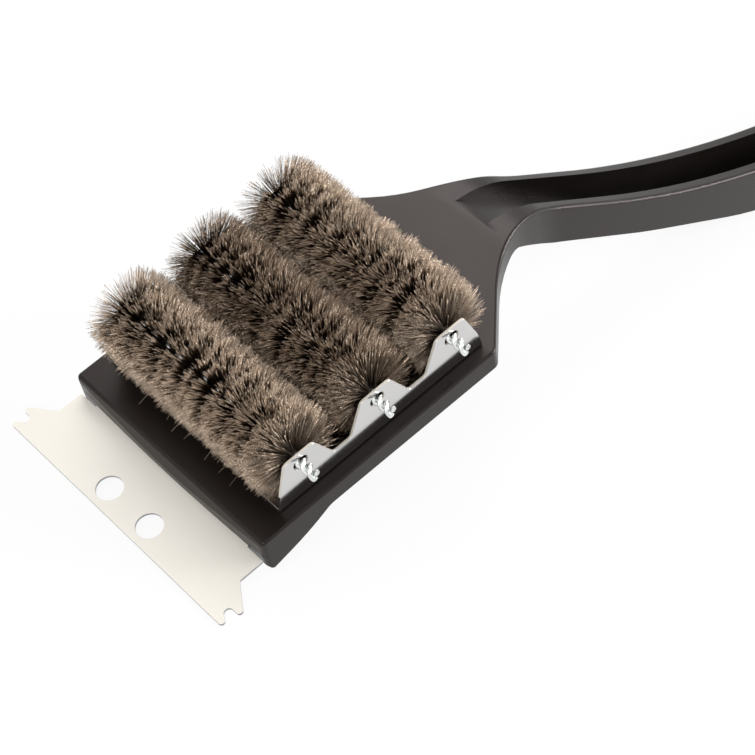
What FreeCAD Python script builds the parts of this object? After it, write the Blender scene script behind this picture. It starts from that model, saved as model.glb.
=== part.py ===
import FreeCAD, Part
import math
import os
from FreeCAD import Placement, Rotation, Vector

# Grill cleaning brush: a black moulded handle with a flat head, three twisted-wire
# brushes in a bright U-shaped bracket, and a notched scraper blade at the front.
#
# Every piece is drawn in the head's own frame: X across the head, +Y from the
# scraper towards the handle's end, +Z out of the bristle side, with z = 0 on the
# head's flat top and y = 0 at the bracket's front edge.  The finished brush is then
# tilted and lifted as one, so that it lies on the ground as it does when put down:
# on the blade's edge and on the handle's belly.

# Driving sizes in millimetres; names that end in _fall or _angle are degrees.
SIZES = {
    # head of the moulding
    "head_width": 102.2,
    "head_rear": 94.2,
    "head_front": 12.3,
    "head_depth": 8.2,
    "underside_fall": 0.75,
    "lip_depth": 16.6,
    "lip_setback": 1.3,
    "lip_belly": 6.0,
    "lip_belly_depth": 12.9,
    "lip_belly_radius": 80.0,
    "lip_end": 16.5,
    "front_lean": 2.5,
    "front_swell": 1.9,
    "front_bow_radius": 900.0,
    "front_corner_reach": 0.5,
    "front_corner_round": 2.0,
    "front_top_round": 1.5,
    "front_face_radius": 6.0,
    "lip_edge_round": 1.5,
    "lip_end_radius": 8.0,
    "under_bend_radius": 12.0,
    # neck and handle, seen from the side
    "neck_crest": 141.9,
    "neck_fall": 38.0,
    "throat_start": 134.6,
    "throat_fall": 45.0,
    "throat_radius": 60.0,
    "neck_depth": 16.2,
    "grip_bend": 275.5,
    "grip_fall": 15.4,
    "belly_start": 203.0,
    "belly_fall": 35.5,
    "belly_end": 293.0,
    "belly_end_fall": 12.5,
    "handle_end": 400.0,
    "crest_radius": 45.0,
    "rim_radius": 555.0,
    "under_neck_radius": 600.0,
    "belly_radius": 250.0,
    # neck and handle, seen from above
    "shoulder_angle": 45.0,
    "neck_radius": 70.0,
    "neck_taper": 13.0,
    "neck_waist": 157.0,
    "neck_width": 23.8,
    "waist_radius": 60.0,
    "grip_start": 228.0,
    "grip_start_radius": 2500.0,
    "handle_width": 25.5,
    "handle_end_radius": 11.0,
    "shoulder_round": 4.0,
    "head_edge_round": 1.0,
    "grip_edge_round": 1.6,
    "underside_ease": 0.4,
    # channel in the handle
    "channel_width": 16.2,
    "channel_floor": 2.6,
    "channel_start": 130.5,
    "channel_knee": 149.4,
    "ramp_start_fall": 33.0,
    "ramp_fall": 45.1,
    "ramp_brow_radius": 160.0,
    "ramp_foot_radius": 60.0,
    "channel_end": 374.0,
    "channel_end_radius": 8.0,
    "hang_hole": 9.0,
    "hang_hole_inset": 14.0,
    # brush bracket
    "bracket_width": 92.2,
    "bracket_height": 21.3,
    "bracket_sheet": 1.0,
    "bracket_bend": 1.6,
    "valley_height": 8.4,
    "tab_top": 12.8,
    "tab_foot": 26.4,
    "tab_round": 2.2,
    "flange_lean": 1.65,
    "flange_corner_radius": 12.0,
    "row_inset": 12.5,
    "row_pitch": 34.0,
    "slot_length": 6.2,
    "slot_height": 4.8,
    "slot_round": 2.2,
    # twisted-wire brushes
    "wire_axis": 16.8,
    "wire_gauge": 2.1,
    "wire_pitch": 13.5,
    "wire_overhang": 7.0,
    "bristle_radius": 17.5,
    "tuft_valley_radius": 15.0,
    "tufts_per_row": 9,
    # scraper blade
    "blade_sheet": 1.0,
    "blade_level": 9.9,
    "blade_width": 100.4,
    "blade_ear_start": 23.8,
    "blade_edge": 39.0,
    "ear_angle": 34.6,
    "notch_top": 32.35,
    "notch_angle": 30.0,
    "notch_depth": 0.1,
    "notch_radius": 1.75,
    "tooth_radius": 1.2,
    "blade_hole": 10.1,
    "blade_hole_spacing": 22.2,
    "blade_hole_line": 31.3,
    "ear_bend_radius": 1.0,
    "shoulder_corner_round": 0.5,
    "tang_width": 84.0,
    "tang_depth": 15.0,
    "tang_corner_round": 1.5,
    # fasteners
    "screw_shank": 3.0,
    "screw_head": 6.0,
    "screw_head_height": 1.7,
    "screw_head_bevel": 0.7,
    "bracket_screw_spacing": 56.0,
    "bracket_screw_length": 7.5,
    "blade_screw_spacing": 56.0,
    "blade_screw_line": 5.0,
    "blade_screw_seat": 12.3,
    "blade_screw_length": 8.0,
    # clearances
    "slide_gap": 0.1,
    "loose_gap": 0.3,
}

doc = FreeCAD.newDocument("grill_cleaning_brush")
sheet = doc.addObject("Spreadsheet::Sheet", "Sizes")


def write_cell(row, alias, value):
    """One line of the sheet: the name in column A, the number in column B."""
    sheet.set(f"A{row}", alias)
    sheet.set(f"B{row}", str(value))
    sheet.setAlias(f"B{row}", alias)


for row, (alias, value) in enumerate(SIZES.items(), start=1):
    write_cell(row, alias, value)
doc.recompute()


def size(alias):
    """A driving size, read back from the sheet."""
    return float(sheet.get(alias))


# ---------------------------------------------------------------- outlines


def rounded(corners):
    """Closed outline through (u, v, radius) corners, as lines and tangent arcs.

    Where two neighbouring arcs want more than the run between them, both shrink.
    """
    points = [Vector(u, v, 0) for u, v, _ in corners]
    count = len(points)
    half_turns, wanted = [], []
    for i, (_, _, radius) in enumerate(corners):
        before = points[i - 1] - points[i]
        after = points[(i + 1) % count] - points[i]
        half_turn = (math.pi - before.getAngle(after)) / 2
        half_turns.append(half_turn)
        wanted.append(radius * math.tan(half_turn))
    shares = [1.0] * count
    for i in range(count):
        following = (i + 1) % count
        run = (points[following] - points[i]).Length
        both = wanted[i] + wanted[following]
        if both > 0.998 * run:
            shares[i] = min(shares[i], 0.998 * run / both)
            shares[following] = min(shares[following], 0.998 * run / both)
    arcs = []
    for i, (_, _, radius) in enumerate(corners):
        before = (points[i - 1] - points[i]).normalize()
        after = (points[(i + 1) % count] - points[i]).normalize()
        setback = wanted[i] * shares[i]
        start = points[i] + before * setback
        end = points[i] + after * setback
        bulge = setback / math.tan(half_turns[i]) * (1 / math.cos(half_turns[i]) - 1)
        middle = points[i] + (before + after).normalize() * bulge
        arcs.append((start, middle, end, radius > 0))
    edges = []
    for i, (start, middle, end, is_round) in enumerate(arcs):
        if is_round:
            edges.append(Part.Arc(start, middle, end))
        following = arcs[(i + 1) % count][0]
        if (following - end).Length > 1e-6:
            edges.append(Part.LineSegment(end, following))
    return edges


def circle(u, v, diameter):
    """A full circle, as sketch geometry."""
    return Part.Circle(Vector(u, v, 0), Vector(0, 0, 1), diameter / 2)


def meet(first, second):
    """Point where two side-view lines cross; a line is (y, z, fall in degrees)."""
    y1, z1, fall1 = first
    y2, z2, fall2 = second
    drop1 = math.tan(math.radians(fall1))
    drop2 = math.tan(math.radians(fall2))
    y = (z1 - z2 + drop1 * y1 - drop2 * y2) / (drop1 - drop2)
    return y, z1 - drop1 * (y - y1)


def lowered(line, depth):
    """The parallel line that lies a given depth below, square to the line."""
    y, z, fall = line
    return y, z - depth / math.cos(math.radians(fall)), fall


def turned(line, y, fall):
    """A new line of another fall, from the point that the line has at y."""
    y0, z0, old_fall = line
    return y, z0 - math.tan(math.radians(old_fall)) * (y - y0), fall


# ---------------------------------------------------------------- bodies


def new_body(name):
    body = doc.addObject("PartDesign::Body", name)
    body.Label = name
    return body


def sketch(body, name, role, edges, offset=None):
    """A sketch on one of the body's own origin planes, or a named size off it."""
    made = body.newObject("Sketcher::SketchObject", name)
    plane = next(item for item in body.Origin.OriginFeatures if item.Role == role)
    made.AttachmentSupport = [(plane, "")]
    made.MapMode = "FlatFace"
    if offset is not None:
        made.setExpression("AttachmentOffset.Base.z", offset)
    made.addGeometry(edges, False)
    return made


def feature(body, kind, name, profile, **settings):
    """Adds a feature and makes it the body's tip; text settings are expressions."""
    made = body.newObject(f"PartDesign::{kind}", name)
    if profile is not None:
        made.Profile = (profile, [""])
        profile.Visibility = False
    for key, setting in settings.items():
        if isinstance(setting, str) and "Sizes." in setting:
            made.setExpression(key, setting)
        else:
            setattr(made, key, setting)
    body.Tip = made
    doc.recompute()
    return made


def cut(body, kind, name, profile, **settings):
    """A feature that has to take material away."""
    before = body.Shape.Volume
    made = feature(body, kind, name, profile, **settings)
    if body.Shape.Volume > before - 1e-3:
        raise ValueError(f"{name} cuts nothing")
    return made


# ---------------------------------------------------------------- handle


def handle_lines():
    """The straight lines that the side view of the neck and handle is drawn on."""
    deck = (0.0, 0.0, 0.0)
    rim_neck = (size("neck_crest"), 0.0, size("neck_fall"))
    rim_grip = turned(rim_neck, size("grip_bend"), size("grip_fall"))
    under_deck = (size("lip_end"), -size("head_depth"), size("underside_fall"))
    under_throat = turned(under_deck, size("throat_start"), size("throat_fall"))
    under_neck = lowered(rim_neck, size("neck_depth"))
    under_belly = turned(under_neck, size("belly_start"), size("belly_fall"))
    under_grip = turned(under_belly, size("belly_end"), size("belly_end_fall"))
    return (deck, rim_neck, rim_grip, under_deck, under_throat, under_neck, under_belly,
            under_grip)


def side_outline():
    """Side view: deck, crest, long hollow rim, belly, and the front lip.

    It runs on past the handle's end, which the plan cuts off.
    """
    (deck, rim_neck, rim_grip, under_deck, under_throat, under_neck, under_belly,
     under_grip) = handle_lines()
    beyond = size("handle_end") + size("handle_width")
    front = -size("head_front")
    return rounded([
        (front, 0, size("front_top_round")),
        (*meet(deck, rim_neck), size("crest_radius")),
        (*meet(rim_neck, rim_grip), size("rim_radius")),
        (*turned(rim_grip, beyond, 0)[:2], 0.0),
        (*turned(under_grip, beyond, 0)[:2], 0.0),
        (*meet(under_belly, under_grip), size("belly_radius")),
        (*meet(under_neck, under_belly), size("under_neck_radius")),
        (*meet(under_throat, under_neck), size("throat_radius")),
        (*meet(under_deck, under_throat), size("under_bend_radius")),
        (size("lip_end"), -size("head_depth"), size("lip_end_radius")),
        (size("lip_belly"), -size("lip_belly_depth"), size("lip_belly_radius")),
        (front + size("lip_setback"), -size("lip_depth"), size("lip_edge_round")),
        (front - size("front_lean"), -size("blade_level"), size("front_face_radius")),
    ])


def neck_corner():
    """Where the 45 degree shoulder line meets the tapering neck's side, from above."""
    shoulder = math.tan(math.radians(size("shoulder_angle")))
    taper = math.tan(math.radians(size("neck_taper")))
    head = size("head_width") / 2
    waist = size("neck_width") / 2
    y = (head + shoulder * size("head_rear") - waist - taper * size("neck_waist")) / (
        shoulder - taper)
    return waist + taper * (size("neck_waist") - y), y


def plan_outline():
    """View from above: bowed front, square head, 45 degree shoulders, slim handle."""
    head = size("head_width") / 2
    waist = size("neck_width") / 2
    grip = size("handle_width") / 2
    front = -size("head_front") - size("front_swell")
    corner = -size("head_front") - size("front_corner_reach")
    right = [
        (head, corner, size("front_corner_round")),
        (head, size("head_rear"), size("shoulder_round")),
        (*neck_corner(), size("neck_radius")),
        (waist, size("neck_waist"), size("waist_radius")),
        (grip, size("grip_start"), size("grip_start_radius")),
        (grip, size("handle_end"), size("handle_end_radius")),
    ]
    left = [(-x, y, radius) for x, y, radius in reversed(right)]
    return rounded([(0, front, size("front_bow_radius"))] + right + left)


def channel_outline():
    """Side view of the open channel: ramp, floor at an even wall, blunt far end."""
    _, rim_neck, rim_grip, _, _, under_neck, under_belly, under_grip = handle_lines()
    wall = size("channel_floor")
    ramp_top = (size("channel_start"), 0.0, size("ramp_start_fall"))
    ramp = turned(ramp_top, size("channel_knee"), size("ramp_fall"))
    floor_neck = lowered(under_neck, -wall)
    floor_belly = lowered(under_belly, -wall)
    floor_grip = lowered(under_grip, -wall)
    far_end = turned(rim_grip, size("channel_end"), size("grip_fall") - 90)
    sky = lowered((0.0, 0.0, 0.0), -size("handle_width"))
    return rounded([
        (size("channel_start"), sky[1], 0.0),
        (size("channel_start"), 0.0, 0.0),
        (*meet(ramp_top, ramp), size("ramp_brow_radius")),
        (*meet(ramp, floor_neck), size("ramp_foot_radius")),
        (*meet(floor_neck, floor_belly), size("under_neck_radius")),
        (*meet(floor_belly, floor_grip), size("belly_radius")),
        (*meet(floor_grip, far_end), size("channel_end_radius")),
        (*meet(far_end, sky), 0.0),
    ])


def hang_hole_centre():
    """Middle of the handle's depth, a set way in from the end, in the side view."""
    lines = handle_lines()
    rim_grip, under_grip = lines[2], lines[-1]
    y = size("handle_end") - size("hang_hole_inset")
    above = turned(rim_grip, y, 0)[1]
    below = turned(under_grip, y, 0)[1]
    return y, (above + below) / 2


def screw_places():
    """Bracket screws stand between the brush rows, in pairs across the head."""
    x = size("bracket_screw_spacing") / 2
    first = size("row_inset") + size("row_pitch") / 2
    return [(side * x, first + row * size("row_pitch")) for row in (0, 1) for side in (-1, 1)]


def blade_screw_places():
    """The two blade screws stand behind the front face, in the blade's tang."""
    x = size("blade_screw_spacing") / 2
    return [(side * x, -size("blade_screw_line")) for side in (-1, 1)]


def edge_round(y):
    """Rounding of the long edges: small round the head, growing along the neck."""
    half_angle = math.radians(size("shoulder_angle")) / 2
    start = size("head_rear") + size("shoulder_round") * math.tan(half_angle) * math.cos(
        2 * half_angle)
    half_turn = half_angle - math.radians(size("neck_taper")) / 2
    end = neck_corner()[1] + size("neck_radius") * math.tan(half_turn) * math.cos(
        math.radians(size("neck_taper")))
    share = min(1.0, max(0.0, (y - start) / (end - start)))
    small = size("head_edge_round")
    return small + share * (size("grip_edge_round") - small)


def normal_at(face, point):
    return face.normalAt(*face.Surface.parameter(point))


def rim_height(y):
    """Height of the deck or rim at a place along the side view, bends left out."""
    deck, rim_neck, rim_grip = handle_lines()[:3]
    line = deck if y < size("neck_crest") else rim_neck if y < size("grip_bend") else rim_grip
    return turned(line, y, 0)[1]


def long_edges(shape, upper):
    """Edges where the upright side walls meet the deck and rim, or the underside.

    Each comes as its number and its two end points, in the edge's own direction.
    """
    found = []
    for number, edge in enumerate(shape.Edges, start=1):
        middle = edge.valueAt((edge.FirstParameter + edge.LastParameter) / 2)
        normals = [normal_at(face, middle) for face in shape.ancestorsOfType(edge, Part.Face)]
        walls = [n for n in normals if abs(n.z) < 1e-6]
        covers = [n for n in normals if abs(n.z) > 0.1]
        is_upper = middle.z > rim_height(middle.y) - size("head_depth") * 0.6
        behind_lip = middle.y > size("lip_belly")
        if len(walls) == 1 and len(covers) == 1 and is_upper == upper and (upper or behind_lip):
            ends = [edge.valueAt(edge.FirstParameter), edge.valueAt(edge.LastParameter)]
            if edge.Orientation == "Reversed":
                ends.reverse()
            found.append((number, ends))
    return found


def make_blank():
    """The moulding's outside: the side view cut to the plan, with its edges rounded."""
    blank = new_body("handle_blank")
    side = sketch(blank, "handle_side", "YZ_Plane", side_outline())
    feature(blank, "Pad", "handle_pad", side, Midplane=True, Length="2 * Sizes.head_width")

    reach = 2 * size("handle_end")
    far = [(-reach, -reach, 0), (reach, -reach, 0), (reach, reach, 0), (-reach, reach, 0)]
    waste = sketch(blank, "handle_waste", "XY_Plane", rounded(far) + plan_outline())
    cut(blank, "Pocket", "handle_plan", waste, Midplane=True, Type="ThroughAll")

    rounded_rim = doc.addObject("Part::Fillet", "handle_rim_rounded")
    rounded_rim.Base = blank
    rounded_rim.Edges = [(number, edge_round(ends[0].y), edge_round(ends[1].y))
                         for number, ends in long_edges(blank.Shape, True)]
    doc.recompute()
    eased = doc.addObject("Part::Chamfer", "handle_underside_eased")
    eased.Base = rounded_rim
    ease = size("underside_ease")
    eased.Edges = [(number, ease, ease) for number, _ in long_edges(rounded_rim.Shape, False)]
    doc.recompute()
    return eased


def make_handle():
    body = new_body("handle_body")
    body.BaseFeature = make_blank()
    doc.recompute()

    channel = sketch(body, "channel_side", "YZ_Plane", channel_outline())
    cut(body, "Pocket", "channel", channel, Midplane=True, Length="Sizes.channel_width")

    half_slot = size("blade_sheet") / 2 + size("slide_gap")
    level = -size("blade_level")
    slot_end = tang_end() + size("slide_gap")
    slot_start = -2 * size("head_front")
    slot = sketch(body, "blade_slot_side", "YZ_Plane", rounded([
        (slot_start, level - half_slot, 0),
        (slot_end, level - half_slot, 0),
        (slot_end, level + half_slot, 0),
        (slot_start, level + half_slot, 0),
    ]))
    cut(body, "Pocket", "blade_slot", slot, Midplane=True,
        Length="Sizes.tang_width + 2 * Sizes.slide_gap")

    pilot = size("screw_shank") + 2 * size("slide_gap")
    pilots = sketch(body, "bracket_pilots", "XY_Plane",
                    [circle(x, y, pilot) for x, y in screw_places()])
    cut(body, "Pocket", "bracket_pilot_holes", pilots, Length="Sizes.bracket_screw_length")

    seats = sketch(body, "blade_screw_seats", "XY_Plane",
                   [circle(x, y, size("screw_head") + 2 * size("loose_gap"))
                    for x, y in blade_screw_places()],
                   offset="-Sizes.blade_screw_seat")
    cut(body, "Pocket", "blade_screw_counterbores", seats, Length="Sizes.lip_depth")

    shanks = sketch(body, "blade_screw_pilots", "XY_Plane",
                    [circle(x, y, pilot) for x, y in blade_screw_places()],
                    offset="-Sizes.blade_screw_seat")
    cut(body, "Pocket", "blade_pilot_holes", shanks, Reversed=True,
        Length="Sizes.blade_screw_length + Sizes.loose_gap")

    hang = sketch(body, "hang_hole_side", "YZ_Plane",
                  [circle(*hang_hole_centre(), size("hang_hole"))])
    cut(body, "Pocket", "hang_hole_bore", hang, Midplane=True, Type="ThroughAll")
    return body


# ---------------------------------------------------------------- scraper blade


def tang_end():
    """How far behind the bracket's front edge the blade's tang reaches."""
    return shoulder_line() + size("tang_depth")


def shoulder_line():
    """The blade's shoulders stop just short of the head's front face."""
    return -size("head_front") - size("front_swell") + 2 * size("loose_gap")


def blade_outline():
    """Tang, shoulders, straight sides and the two notched ears."""
    tang = size("tang_width") / 2
    half = size("blade_width") / 2
    ear_start = -size("blade_ear_start")
    notch_top = -size("notch_top")
    edge = -size("blade_edge")
    ear_run = math.tan(math.radians(size("ear_angle")))
    notch_run = math.tan(math.radians(size("notch_angle")))
    outer_tip = half + (ear_start - notch_top) / ear_run
    notch_root = half + size("notch_depth")
    inner_tip = notch_root + (notch_top - edge) / notch_run
    right = [
        (inner_tip, edge, size("tooth_radius")),
        (notch_root, notch_top, size("notch_radius")),
        (outer_tip, notch_top, size("tooth_radius")),
        (half, ear_start, size("ear_bend_radius")),
        (half, shoulder_line(), size("shoulder_corner_round")),
        (tang, shoulder_line(), 0.0),
        (tang, tang_end(), size("tang_corner_round")),
    ]
    left = [(-x, y, radius) for x, y, radius in reversed(right)]
    return rounded(right + left)


def make_blade():
    body = new_body("scraper_blade")
    apart = size("blade_hole_spacing") / 2
    line = -size("blade_hole_line")
    holes = [circle(side * apart, line, size("blade_hole")) for side in (-1, 1)]
    through = size("screw_shank") + 2 * size("loose_gap")
    holes += [circle(x, y, through) for x, y in blade_screw_places()]
    plate = sketch(body, "blade_plan", "XY_Plane", blade_outline() + holes,
                   offset="-Sizes.blade_level")
    feature(body, "Pad", "blade_pad", plate, Midplane=True, Length="Sizes.blade_sheet")
    return body


# ---------------------------------------------------------------- bracket


def row_line(row):
    """Distance of a brush row behind the bracket's front edge."""
    return size("row_inset") + row * size("row_pitch")


def bracket_depth():
    return 2 * row_line(0) + 2 * size("row_pitch")


def bracket_section():
    """Front view of the bent sheet: a flat base between two upright flanges."""
    half = size("bracket_width") / 2
    sheet_gauge = size("bracket_sheet")
    outer = size("bracket_bend")
    inner = outer - sheet_gauge
    top = size("bracket_height")
    right = [
        (half, 0, outer),
        (half, top, 0),
        (half - sheet_gauge, top, 0),
        (half - sheet_gauge, sheet_gauge, inner),
    ]
    left = [(-x, z, radius) for x, z, radius in reversed(right)]
    return rounded(right + left)


def flange_waste():
    """Side view of what is cut from the flanges: all above the three tabs."""
    top = size("bracket_height")
    valley = size("valley_height")
    rise = size("tab_top") / 2
    foot = size("tab_foot") / 2
    bend = size("tab_round")
    depth = bracket_depth()
    tabs = []
    for row in range(3):
        middle = row_line(row)
        if row > 0:
            tabs.append((middle - foot, valley, bend))
        tabs.append((middle - rise, top, bend))
        tabs.append((middle + rise, top, bend))
        if row < 2:
            tabs.append((middle + foot, valley, bend))
    edge_lean = size("flange_lean")
    corner = size("flange_corner_radius")
    front = [(0, 0, 0.0), (edge_lean, valley, corner)]
    back = [(depth - edge_lean, valley, corner), (depth, 0, 0.0)]
    beyond = 2 * top
    frame = [(depth + beyond, 0, 0.0), (depth + beyond, beyond, 0.0), (-beyond, beyond, 0.0),
             (-beyond, 0, 0.0)]
    return rounded(front + tabs + back + frame)


def make_bracket():
    body = new_body("brush_bracket")
    section = sketch(body, "bracket_section", "XZ_Plane", bracket_section())
    feature(body, "Pad", "bracket_pad", section, Reversed=True, Length=bracket_depth())
    waste = sketch(body, "flange_waste", "YZ_Plane", flange_waste())
    cut(body, "Pocket", "flange_outline", waste, Midplane=True, Type="ThroughAll")

    half_long = size("slot_length") / 2
    half_high = size("slot_height") / 2
    bend = size("slot_round")
    axis = size("wire_axis")
    slots = []
    for row in range(3):
        middle = row_line(row)
        slots += rounded([
            (middle - half_long, axis - half_high, bend),
            (middle + half_long, axis - half_high, bend),
            (middle + half_long, axis + half_high, bend),
            (middle - half_long, axis + half_high, bend),
        ])
    slot_sketch = sketch(body, "wire_slots", "YZ_Plane", slots)
    cut(body, "Pocket", "wire_slot_holes", slot_sketch, Midplane=True, Type="ThroughAll")

    through = size("screw_shank") + 2 * size("loose_gap")
    holes = sketch(body, "bracket_holes", "XY_Plane",
                   [circle(x, y, through) for x, y in screw_places()])
    cut(body, "Pocket", "bracket_screw_holes", holes, Midplane=True,
        Length="4 * Sizes.bracket_sheet")
    return body


# ---------------------------------------------------------------- brushes

STRAND_SIDES = 6
STRAND_STEPS = 6
TUFT_FLATS = 12


def strand_radius():
    """Distance of a wire's own centre from the axis of the twist."""
    return size("wire_gauge") / 2 + size("slide_gap")


def twisted_strand(row, phase):
    """One of a row's two twisted wires: a hexagon carried along a stepped helix."""
    radius = strand_radius()
    pitch = size("wire_pitch")
    length = size("bracket_width") + 2 * size("wire_overhang")
    steps = round(length / pitch * STRAND_STEPS)
    path = []
    for step in range(steps + 1):
        x = length * (step / steps - 0.5)
        turn = phase + 2 * math.pi * x / pitch
        path.append(Vector(x, row_line(row) + radius * math.cos(turn),
                           size("wire_axis") + radius * math.sin(turn)))
    ahead = (path[1] - path[0]).normalize()
    side_way = ahead.cross(Vector(0, 0, 1)).normalize()
    up_way = side_way.cross(ahead)
    corners = []
    for side in range(STRAND_SIDES + 1):
        angle = 2 * math.pi * side / STRAND_SIDES
        out = side_way * math.cos(angle) + up_way * math.sin(angle)
        corners.append(path[0] + out * size("wire_gauge") / 2)
    profile = Part.makePolygon(corners)
    return Part.makePolygon(path).makePipeShell([profile], True, False, 1)


def make_wire(name, row, phase):
    wire = doc.addObject("Part::Feature", name)
    wire.Label = name
    wire.Shape = twisted_strand(row, phase)
    return wire


def tuft_flats(row):
    """Ring of equal flats round the twist, as far out as the tufts' crests."""
    half_flat = math.pi / TUFT_FLATS
    out = size("bristle_radius") / math.cos(half_flat)
    corners = []
    for flat in range(TUFT_FLATS):
        angle = (2 * flat + 1) * half_flat
        corners.append((row_line(row) + out * math.cos(angle),
                        size("wire_axis") + out * math.sin(angle), 0.0))
    return rounded(corners)


def tuft_valleys():
    """What lies above a row of roof-shaped tufts, seen along the head."""
    half = size("bracket_width") / 2 - size("bracket_sheet") - size("loose_gap")
    count = round(size("tufts_per_row"))
    crest = size("wire_axis") + size("bristle_radius")
    valley = size("wire_axis") + size("tuft_valley_radius")
    corners = [(half, 2 * crest, 0.0), (-half, 2 * crest, 0.0), (-half, valley, 0.0)]
    for tuft in range(count):
        corners.append((half * ((2 * tuft + 1) / count - 1), crest, 0.0))
        corners.append((half * ((2 * tuft + 2) / count - 1), valley, 0.0))
    return rounded(corners)


def make_bristles(name, row):
    """The space that one brush's bristles fill: a row of round tufts grown together."""
    body = new_body(name)
    outer = size("bristle_radius")
    axis = size("wire_axis")
    middle = row_line(row)
    flats = sketch(body, f"{name}_flats", "YZ_Plane", tuft_flats(row))
    feature(body, "Pad", f"{name}_bar", flats, Midplane=True,
            Length="Sizes.bracket_width - 2 * Sizes.bracket_sheet - 2 * Sizes.loose_gap")
    twist = sketch(body, f"{name}_twist_line", "XY_Plane", [], offset="Sizes.wire_axis")
    twist.addGeometry(Part.LineSegment(Vector(-outer, middle, 0), Vector(outer, middle, 0)), True)
    valleys = sketch(body, f"{name}_valley_outline", "XZ_Plane", tuft_valleys())
    groove = cut(body, "Pocket", f"{name}_valley", valleys, Midplane=True, Type="ThroughAll")
    feature(body, "PolarPattern", f"{name}_valleys", None, Originals=[groove],
            Axis=(twist, ["Axis0"]), Angle=360.0, Occurrences=TUFT_FLATS)
    bore = sketch(body, f"{name}_bore_circle", "YZ_Plane",
                  [circle(middle, axis, 4 * strand_radius() + 2 * size("slide_gap"))])
    cut(body, "Pocket", f"{name}_bore", bore, Midplane=True, Type="ThroughAll")

    side_gap = (size("row_pitch") - size("loose_gap")) / 2
    floor = size("bracket_sheet") + size("loose_gap")
    reach = 2 * outer
    over = 1.5 * outer
    far = [(middle - reach, -reach, 0), (middle + reach, -reach, 0),
           (middle + reach, axis + reach, 0), (middle - reach, axis + reach, 0)]
    keep = [(middle - side_gap, floor, 0), (middle + side_gap, floor, 0),
            (middle + side_gap, axis + over, 0), (middle - side_gap, axis + over, 0)]
    trim = sketch(body, f"{name}_trim_side", "YZ_Plane", rounded(far) + rounded(keep))
    cut(body, "Pocket", f"{name}_trim", trim, Midplane=True, Type="ThroughAll")
    return body


# ---------------------------------------------------------------- fasteners


def screw_outline(length, seat, up, at):
    """Half of a pan-head screw beside its axis: plain shank and bevelled head."""
    shank = size("screw_shank") / 2
    head = size("screw_head") / 2
    height = size("screw_head_height")
    bevel = size("screw_head_bevel")
    return rounded([
        (at, seat - up * length, 0.0),
        (at + shank, seat - up * length, 0.0),
        (at + shank, seat, 0.0),
        (at + head, seat, 0.0),
        (at + head, seat + up * (height - bevel), 0.0),
        (at + head - bevel, seat + up * height, 0.0),
        (at, seat + up * height, 0.0),
    ])


def make_screws(name, places, length, seat, up):
    """Equal screws on one side of the head, and their mirror images on the other."""
    body = new_body(name)
    x = max(place[0] for place in places)
    turned_screws = []
    for y in sorted({place[1] for place in places}):
        half = sketch(body, f"{name}_half", "XZ_Plane", screw_outline(length, seat, up, x))
        half.AttachmentOffset = Placement(Vector(0, 0, -y), Rotation())
        half.addGeometry(Part.LineSegment(Vector(x, seat - 1, 0), Vector(x, seat + 1, 0)), True)
        turned_screws.append(feature(body, "Revolution", f"{name}_turned", half,
                                     ReferenceAxis=(half, ["Axis0"])))
    mirror = next(item for item in body.Origin.OriginFeatures if item.Role == "YZ_Plane")
    feature(body, "Mirrored", f"{name}_pairs", None, Originals=turned_screws,
            MirrorPlane=(mirror, [""]))
    return body


# ---------------------------------------------------------------- how it lies


def turn_of(first, second):
    """Sign of the turn from one side-view step to the next."""
    return first[0] * second[1] - first[1] * second[0]


def lower_hull(points):
    """The stretched string under a set of side-view points, from front to back."""
    hull = []
    for point in sorted(set(points)):
        while len(hull) > 1:
            step = (hull[-1][0] - hull[-2][0], hull[-1][1] - hull[-2][1])
            following = (point[0] - hull[-1][0], point[1] - hull[-1][1])
            if turn_of(step, following) > 0:
                break
            hull.pop()
        hull.append(point)
    return hull


def resting_angle(points, balance):
    """Tilt that brings the hull's side under the balance point level, in degrees."""
    hull = lower_hull(points)
    for start, end in zip(hull, hull[1:]):
        run = (end[0] - start[0], end[1] - start[1])
        foot = (balance[0] - start[0]) * run[0] + (balance[1] - start[1]) * run[1]
        if 0 <= foot <= run[0] ** 2 + run[1] ** 2:
            return -math.degrees(math.atan2(run[1], run[0]))
    raise ValueError("the brush has no side to lie on")


def lay_down(parts):
    """Tilts and lifts every piece alike; the origin ends up under the middle of the box."""
    points = []
    for item in parts:
        points += item.Shape.tessellate(0.02)[0]
    balance = Part.Compound([item.Shape for item in parts]).CenterOfGravity
    angle = resting_angle([(round(p.y, 4), round(p.z, 4)) for p in points], (balance.y, balance.z))
    tilt = Rotation(Vector(1, 0, 0), angle)
    laid = [tilt.multVec(point) for point in points]
    along = [point.y for point in laid]
    first_row = len(SIZES) + 1
    write_cell(first_row, "rest_tilt", angle)
    write_cell(first_row + 1, "rest_shift", -(min(along) + max(along)) / 2)
    write_cell(first_row + 2, "rest_lift", -min(point.z for point in laid))
    doc.recompute()
    for item in parts:
        item.Placement = Placement(Vector(0, 0, 0), tilt)
        item.setExpression("Placement.Rotation.Angle", "Sizes.rest_tilt")
        item.setExpression("Placement.Base.y", "Sizes.rest_shift")
        item.setExpression("Placement.Base.z", "Sizes.rest_lift")
    doc.recompute()


parts = [
    make_handle(),
    make_blade(),
    make_bracket(),
]
for row, place in enumerate(("front", "middle", "rear")):
    parts.append(make_wire(f"{place}_wire_a", row, 0.0))
    parts.append(make_wire(f"{place}_wire_b", row, math.pi))
    parts.append(make_bristles(f"{place}_bristles", row))
parts.append(make_screws("bracket_screws", screw_places(),
                         size("bracket_sheet") + size("bracket_screw_length") - size("loose_gap"),
                         size("bracket_sheet"), 1))
parts.append(make_screws("blade_screws", blade_screw_places(), size("blade_screw_length"),
                         -size("blade_screw_seat"), -1))
lay_down(parts)

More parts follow.
